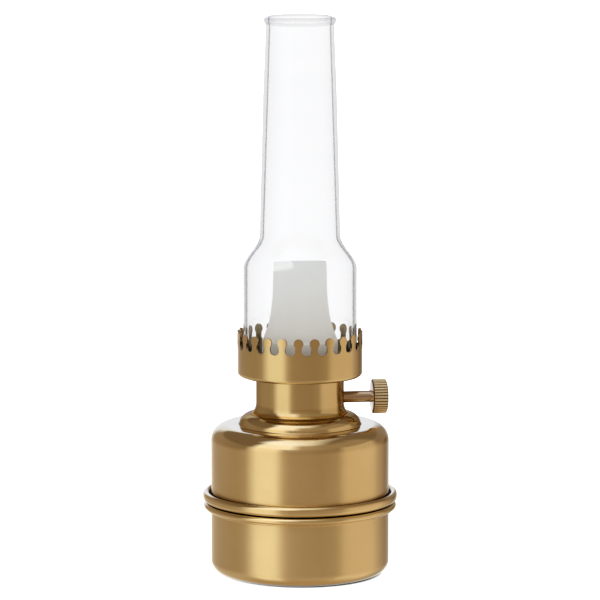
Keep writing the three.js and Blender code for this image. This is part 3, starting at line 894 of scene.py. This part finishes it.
def crown_gallery():
    """One sheet: floor ring, rounded corner, wall and teeth, with the sheet's thickness added."""
    outline = tooth_outline()
    root = outline[0][1]
    half = TAU * CROWN_R / TEETH / 2
    gap = root + (half - root) / 2
    across = [-1 + 2 * k / TOOTH_STEPS for k in range(TOOTH_STEPS + 1)]
    columns = [-half, -gap, *(root * c for c in across), gap]
    first_of_tooth = 2
    corner = 1.8
    wall_foot = CROWN_FLOOR + corner
    up = [
        (15.5, CROWN_FLOOR),
        (16.5, CROWN_FLOOR),
        (21, CROWN_FLOOR),
        (CROWN_R - corner - 0.1, CROWN_FLOOR),
        *arc(CROWN_R - corner, wall_foot, corner, -90, 0, 8),
        (CROWN_R, wall_foot + 0.15),
        (CROWN_R, 96),
        (CROWN_R, VALLEY - 0.6),
        (CROWN_R, VALLEY),
    ]
    corners = [crown_point(u, r, z, t) for r, z in up for t in range(TEETH) for u in columns]
    per_row = len(columns) * TEETH
    faces = grid(len(up), per_row)
    top = (len(up) - 1) * per_row
    for tooth in range(TEETH):
        start = top + tooth * len(columns) + first_of_tooth
        below = range(start, start + len(across))
        for z, w in outline[1:]:
            row = range(len(corners), len(corners) + len(across))
            corners += [crown_point(w * c, CROWN_R, z, tooth) for c in across]
            for k in range(TOOTH_STEPS):
                faces.append([below[k], below[k + 1], row[k + 1], row[k]])
            below = row
    shape = corners, faces
    made = piece("crown_sheet", shape, "lamp_body", CROWN_SATIN, ["crown_gallery"], 50)
    thick = made.modifiers.new("sheet", "SOLIDIFY")
    thick.thickness = SHEET * MM
    thick.offset = -1
    thick.use_even_offset = True
    bevel(made, 0.22, segments=3, angle=50)


# ------------------------------------------------------------------ glass and flame


def glass_chimney():
    """A bulb, an S-shaped shoulder and a tapering flue with a rounded lip, the wall much the same
    all the way up."""
    wall, bulb, flue = 1.9, 25.4, 18.0
    foot, low, high, neck = 90.5, 137.5, 152.5, 245.6
    lip, lip_edge, inner_lip = 1.5, 16.1, 0.8

    def shoulder(inset):
        steps = 26
        points = []
        for i in range(steps + 1):
            t = i / steps
            ease = (1 + math.cos(math.pi * t)) / 2
            points.append((flue + (bulb - flue) * ease - inset, low + (high - low) * t))
        return points

    profile = [
        *arc(bulb - wall / 2, foot + wall / 2, wall / 2, -180, 0, 10),
        *shoulder(0),
        (16.4, 215),
        (15.15, neck),
        (15.35, neck + 1),
        *arc(lip_edge - lip, 248.4, lip, -30, 80, 10),
        *arc(14.6, 249.2, inner_lip, 90, 180, 6),
        (13.2, neck),
        *shoulder(wall)[::-1],
    ]
    shape = lathe(profile, 128)
    piece("chimney_glass", shape, "chimney", GLASS, ["glass_chimney"], 60)


# Height, half width and half depth up the flame.
FLAME = [
    (92.6, 16.9, 16.9),
    (104.2, 16.9, 16.9),
    (106.4, 16.3, 15.8),
    (109.5, 15.2, 13.9),
    (114.0, 13.85, 11.3),
    (119.5, 12.95, 8.8),
    (126.0, 12.3, 6.6),
    (133.0, 12.1, 5.0),
    (140.6, 11.95, 4.0),
]


def smooth_through(knots, count):
    """count points on a Catmull-Rom curve through the knots, which are tuples."""
    ends = [knots[0], *knots, knots[-1]]
    spans = len(knots) - 1
    out = []
    for i in range(count):
        place = spans * i / (count - 1)
        k = min(int(place), spans - 1)
        t = place - k
        a, b, c, d = (Vector(p) for p in ends[k : k + 4])
        square = 2 * a - 5 * b + 4 * c - d
        cube = 3 * b - a - 3 * c + d
        out.append(0.5 * (2 * b + (c - a) * t + square * t**2 + cube * t**3))
    return out


def flame():
    """A hollow flame: round at its foot, flat at its closed top, with a rounded top edge."""
    segments, outer_rings, inner_rings, edge_steps = 128, 49, 25, 6
    wall, edge, ceiling = 1.4, 0.7, 135
    outer = [tuple(ring) for ring in smooth_through(FLAME, outer_rings)]
    z, a, b = outer.pop()
    for i in range(edge_steps + 1):
        angle = math.radians(90 * i / edge_steps)
        inset = edge * (1 - math.cos(angle))
        outer.append((z - edge + edge * math.sin(angle), a - inset, b - inset))
    outer += [(z, (a - edge) * s, (b - edge) * s) for s in (0.8, 0.4, 0.0)]
    inner = [
        (z - (wall if z > ceiling else 0), a - wall, b - wall)
        for z, a, b in smooth_through(FLAME, inner_rings)
    ]
    inner.append((FLAME[-1][0] - wall, 0.0, 0.0))
    rings = inner[::-1] + outer
    corners = []
    for z, a, b in rings:
        for i in range(segments):
            angle = TAU * i / segments
            corners.append((a * math.cos(angle), b * math.sin(angle), z))
    shape = corners, grid(len(rings), segments)
    weld_poles(piece("flame", shape, "lamp_body", FROST, ["flame_diffuser"], 60))


# ------------------------------------------------------------------ knob and spindle


def knob():
    """A disc with straight ribs round its rim, chamfered on both sides, with a blind bore for the
    spindle and a face that is very slightly dished."""
    ribs, per_rib, groove = 36, 8, 0.45
    around = ribs * per_rib
    start, end, rim, bore = 32.3, 39.2, 7.8, 2.75
    # Radius, place along the axis, and share of the grooves' full depth.
    rows = [
        (bore, start + 4.4, 0),
        (bore, start + 0.2, 0),
        (2.95, start, 0),
        (6.6, start, 0),
        (7.05, start + 0.1, 0),
        (7.35, start + 0.3, 0.25),
        (rim, start + 0.6, 1),
        (rim, start + 0.85, 1),
        (rim, end - 0.85, 1),
        (rim, end - 0.6, 1),
        (7.35, end - 0.3, 0.25),
        (6.9, end - 0.1, 0),
        (6.4, end, 0),
        (5.9, end - 0.05, 0),
        (5.7, end - 0.2, 0),
        (0, end - 0.2, 0),
    ]
    corners = []
    for r, x, depth in rows:
        for i in range(around):
            wave = 0.5 + 0.5 * math.cos(TAU * (i % per_rib) / per_rib)
            radius = r - groove * depth * wave**3
            angle = TAU * i / around
            corners.append((radius * math.cos(angle), radius * math.sin(angle), x))
    faces = grid(len(rows), around)
    faces.append(list(range(around))[::-1])
    shape = on_knob_axis((corners, faces))
    weld_poles(piece("knob_ribbed", shape, "control", KNOB_BRASS, ["knob"], 40))


def spindle():
    """A round shaft, chamfered at both ends."""
    radius, start, end, chamfer = 2.6, 5.4, 37, 0.3
    profile = [
        (0, start),
        (radius - chamfer, start),
        (radius, start + chamfer),
        (radius, end - chamfer),
        (radius - chamfer, end),
        (0, end),
    ]
    shape = on_knob_axis(lathe(profile, 64))
    piece("spindle_rod", shape, "control", BRONZE, ["spindle"])


# ------------------------------------------------------------------ battery chassis and cells

# Spacing and height of the cells, half the length of a bay, and how far out the posts stand.
CELL_PITCH, CELL_Z, BAY, POST_Y = 15.6, 19.1, 27.5, 31
# Each row of the battery tray, and the way along X that its cell points.
ROWS = [(-1, 1), (0, -1), (1, 1)]


def chassis_drum():
    """A drum with a floor, which joins font and cup, and two hollow posts on it."""
    inner, outer, bottom, top = 37.3, 38.7, 24.5, 44
    chamfer = 0.3
    drum = lathe(
        [
            (0, 28),
            (37.1, 28),
            (inner, 27.8),
            (inner, bottom + chamfer),
            (inner + chamfer, bottom),
            (outer - chamfer, bottom),
            (outer, bottom + chamfer),
            (outer, top - chamfer),
            (outer - chamfer, top),
            (inner + chamfer, top),
            (inner, top - chamfer),
            (inner, 30),
            (0, 30),
        ],
        128,
    )
    post, faces = lathe([(1.7, 29.5), (3.6, 29.5), (3.6, 45.8), (3.4, 46), (1.7, 46)], 32)
    posts = [([(x, y + side, z) for x, y, z in post], faces) for side in (POST_Y, -POST_Y)]
    shape = joined(drum, *posts)
    piece("chassis_drum", shape, "lamp_body", BLACK, ["battery_chassis"])


def cells():
    """AA cells that lie along X: each a can with a rounded shoulder and a button."""
    can, length = 7.2, 50.5
    tip = BAY - 1.0
    tail = tip - length
    profile = [
        (0, tail + 0.2),
        (5.2, tail + 0.2),
        (5.4, tail),
        (6.7, tail),
        (7.1, tail + 0.25),
        (can, tail + 0.6),
        (can, tip - 2.2),
        (7.05, tip - 1.75),
        (6.6, tip - 1.5),
        (6.2, tip - 1.7),
        (3.4, tip - 1.7),
        (2.9, tip - 1.5),
        (2.75, tip - 0.3),
        (2.5, tip),
        (0, tip),
    ]
    corners, faces = lathe(profile, 48)
    for row, way in ROWS:
        laid = [(z * way, y * way + row * CELL_PITCH, CELL_Z - x) for x, y, z in corners]
        number = row + 2
        shape = laid, faces
        piece(f"cell_body_{number}", shape, "lamp_body", WRAP, [f"cell_{number}"])


def coil_springs():
    """Conical contact springs, wide at the tray's wall."""
    wire, wide, narrow = 0.3, 4.0, 2.0
    turns, steps = 3.0, 90
    foot, reach = BAY - 0.7, 2.1
    for row, way in ROWS:
        path = []
        for i in range(steps + 1):
            t = i / steps
            radius = wide + (narrow - wide) * t
            angle = TAU * turns * t
            y = row * CELL_PITCH + radius * math.cos(angle)
            z = CELL_Z + radius * math.sin(angle)
            path.append((-way * (foot - reach * t), y, z))
        number = row + 2
        shape = rod(path, wire, 10)
        contact = [f"spring_contact_{number}"]
        piece(f"coil_{number}", shape, "lamp_body", STEEL, contact, 80)


def finish_cad_nodes():
    """Materials on the nodes that are shown as they are, and softened edges on the tray. What is
    neither listed nor a lead is plated steel."""
    looks = {
        "battery_tray": BLACK,
        "dimmer_back": BLACK,
        "dimmer_rotor": BLACK,
        "lamp_holder": WHITE,
        "light_board": WHITE_BOARD,
        "led_chip": GEL,
        "control_board": GREEN,
        "chassis_boss_1": KNOB_BRASS,
        "chassis_boss_2": KNOB_BRASS,
    }
    for name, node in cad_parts.items():
        if node.hide_render:
            continue
        material = looks.get(name, STEEL)
        if "lead" in name:
            material = RED if name.endswith(("plus", "_1")) else BLACK_LEAD
        node.data.materials.clear()
        node.data.materials.append(material)
        if name == "battery_tray":
            bevel(node, 0.3, segments=2, angle=40)


# ------------------------------------------------------------------ stage, light and camera


def stage():
    """A pale floor that runs out of sight, with the shade of the narrow gap under the cup's edge."""
    size, steps = 14.0, 8
    shade_middle = (0.0012, -0.0006, 0)
    corners, faces = [], []
    for i in range(steps + 1):
        for j in range(steps + 1):
            corners.append((size * (i / steps - 0.5), size * (j / steps - 0.5), 0))
    for i in range(steps):
        for j in range(steps):
            k = i * (steps + 1) + j
            faces.append([k, k + steps + 1, k + steps + 2, k + 1])
    mesh = bpy.data.meshes.new("floor")
    mesh.from_pydata(corners, [], faces)
    material, nodes = new_material("pale_floor")
    mottle = nodes.noise(nodes.point(), 6.0, 2.0, 0.5)
    pale = nodes.ramp(mottle, [(0.3, (0.93, 0.93, 0.93)), (0.7, (0.95, 0.95, 0.95))])
    radius, _ = from_axis(nodes, centre=shade_middle)
    open_floor = nodes.fade(radius, 0.0338, 0.0360)
    surface(
        nodes,
        {
            "Base Color": nodes.mix(open_floor, (0.03, 0.02, 0.01, 1), pale),
            "Roughness": 0.8,
            "Specular IOR Level": 0.1,
            "Emission Color": nodes.mix(open_floor, (0, 0, 0, 1), (1, 1, 1, 1)),
            "Emission Strength": 0.85,
        },
    )
    mesh.materials.append(material)
    floor = bpy.data.objects.new("floor", mesh)
    scene.collection.objects.link(floor)
    floor.visible_glossy = False
    floor.visible_transmission = False


# The studio's light from each side, by degrees round from the front (-Y), right positive: LOW below
# the horizon, OVER from it to about 24 degrees up, and HIGH from there to about 55 degrees up.
# OVERHEAD, above that, goes by the direction's part along X. BROWN_FLOOR is straight below.
WHITE_WALL = (1.0, 1.0, 1.0)
COOL_WALL = (0.875, 1.02, 1.37)
PANEL = (1.12, 1.13, 1.08)
LOW_PANEL = (1.03, 1.03, 0.99)
HIGH_PANEL = (1.2, 1.28, 1.5)
WARM_PANEL = (0.76, 0.66, 0.55)
WARM_GLOW = (0.36, 0.29, 0.22)
SHADE = (0.40, 0.315, 0.24)
DARK = (0.20, 0.15, 0.11)
BROWN_FLOOR = (0.46, 0.345, 0.235)
LOW = [
    (-180, WHITE_WALL),
    (-170, (0.8, 0.79, 0.78)),
    (-158, (0.52, 0.46, 0.42)),
    (-140, (0.46, 0.39, 0.34)),
    (-98, (0.44, 0.365, 0.285)),
    (-83, (0.50, 0.42, 0.34)),
    (-67, LOW_PANEL),
    (-41, LOW_PANEL),
    (-30, (0.55, 0.44, 0.34)),
    (-20, (0.42, 0.33, 0.25)),
    (22, SHADE),
    (42, (0.46, 0.37, 0.285)),
    (52, (0.70, 0.61, 0.50)),
    (60, WARM_PANEL),
    (102, WARM_PANEL),
    (112, (0.58, 0.49, 0.41)),
    (126, (0.42, 0.35, 0.29)),
    (136, (0.30, 0.25, 0.21)),
    (145, (0.34, 0.30, 0.27)),
    (154, (0.62, 0.59, 0.56)),
    (168, (0.92, 0.91, 0.90)),
    (180, WHITE_WALL),
]
OVER = [
    (-180, COOL_WALL),
    (-171, COOL_WALL),
    (-160, (0.34, 0.28, 0.23)),
    (-84, (0.26, 0.20, 0.15)),
    (-68, PANEL),
    (-40, PANEL),
    (-28, SHADE),
    (44, (0.30, 0.23, 0.17)),
    (54, (0.62, 0.53, 0.43)),
    (100, (0.60, 0.51, 0.42)),
    (114, (0.26, 0.20, 0.16)),
    (160, (0.30, 0.25, 0.21)),
    (171, COOL_WALL),
    (180, COOL_WALL),
]
HIGH = [
    (-180, DARK),
    (-80, DARK),
    (-68, HIGH_PANEL),
    (-24, HIGH_PANEL),
    (-6, (0.50, 0.42, 0.33)),
    (30, WARM_GLOW),
    (100, WARM_GLOW),
    (115, DARK),
    (180, DARK),
]
OVERHEAD = [
    (-0.64, DARK),
    (-0.56, (1.3, 1.5, 2.1)),
    (-0.15, (1.18, 1.35, 1.85)),
    (0.15, (0.9, 0.95, 1.1)),
    (0.42, DARK),
]


def shifted(stops, amount):
    """The stops with their dark parts lightened or, for less than 0, darkened."""
    unmoved, span = 1.15, 0.75
    return [(a, tuple(v + amount * (unmoved - v) / span for v in c)) for a, c in stops]


def room():
    """Soft panels at the left, right and overhead, as the brass shows them, and white to the camera."""
    world = bpy.data.worlds.new("studio")
    world.use_nodes = True
    scene.world = world
    nodes = Nodes(world.node_tree)
    towards = nodes.add("ShaderNodeTexCoord").outputs["Generated"]
    right, back, up = nodes.parts(towards)
    angle = nodes.math("ARCTAN2", right, nodes.math("MULTIPLY", back, -1))
    turn = nodes.math("MULTIPLY_ADD", angle, 1 / TAU, 0.5)

    def side(stops):
        return nodes.ramp(turn, [(a / 360 + 0.5, c) for a, c in stops])

    def between(value, low, high, below, above):
        return nodes.mix(nodes.fade(value, low, high, smooth=True), below, above)

    across = nodes.fade(right, -1.0, 1.0)
    overhead = nodes.ramp(across, [(x / 2 + 0.5, c) for x, c in OVERHEAD])
    # The overhead panel ends towards the back, along a slanting line.
    slanted = nodes.math("MULTIPLY_ADD", right, -0.57, back)
    top = between(slanted, 0.16, 0.42, overhead, (*DARK, 1))
    lighter, darker = side(shifted(LOW, 0.09)), side(shifted(LOW, -0.14))
    light = between(up, -0.20, -0.168, lighter, darker)
    light = between(up, -1.0, -0.6, (*BROWN_FLOOR, 1), light)
    light = between(up, -0.02, 0.07, light, side(OVER))
    light = between(up, 0.36, 0.46, light, side(HIGH))
    light = between(up, 0.72, 0.93, light, top)
    # What shows through the glass, what lights matt surfaces, and the plain white behind the lamp.
    rays = nodes.add("ShaderNodeLightPath").outputs
    light = nodes.mix(rays["Is Transmission Ray"], light, (1.01, 1.01, 1.02, 1))
    light = nodes.mix(rays["Is Diffuse Ray"], light, (0.98, 0.98, 0.98, 1))
    light = nodes.mix(rays["Is Camera Ray"], light, (1, 1, 1, 1))
    background = nodes.add("ShaderNodeBackground", {0: light, 1: 1.05})
    output = nodes.add("ShaderNodeOutputWorld")
    nodes.tree.links.new(background.outputs[0], output.inputs[0])


def key_light():
    """A square soft light from the front left, above."""
    place, aim = Vector((-1.2, -1.0, 1.6)), Vector((0, 0, 0.12))
    data = bpy.data.lights.new("key", "AREA")
    data.shape = "RECTANGLE"
    data.size = 0.9
    data.size_y = 0.9
    data.energy = 4
    light = bpy.data.objects.new("key", data)
    scene.collection.objects.link(light)
    light.location = place
    light.rotation_euler = (aim - place).to_track_quat("-Z", "Y").to_euler()
    light.visible_glossy = False
    light.visible_transmission = False


def camera():
    """A long lens a little to the left of the front, looking slightly down."""
    azimuth, pitch = math.radians(-8), math.radians(8.2)
    away, height = 1.767, 0.378
    data = bpy.data.cameras.new("camera")
    data.sensor_width = 36
    data.lens = 240
    data.clip_end = 60
    made = bpy.data.objects.new("camera", data)
    scene.collection.objects.link(made)
    made.location = (math.sin(azimuth) * away, -math.cos(azimuth) * away, height)
    made.rotation_euler = (math.pi / 2 - pitch, 0, azimuth)
    scene.camera = made


base_cup()
foot_pad()
font_shell()
neck_collar()
neck_tube()
crown_gallery()
glass_chimney()
flame()
knob()
spindle()
chassis_drum()
cells()
coil_springs()
finish_cad_nodes()

stage()
room()
key_light()
camera()
scene.view_settings.view_transform = "Standard"

bpy.context.view_layer.update()
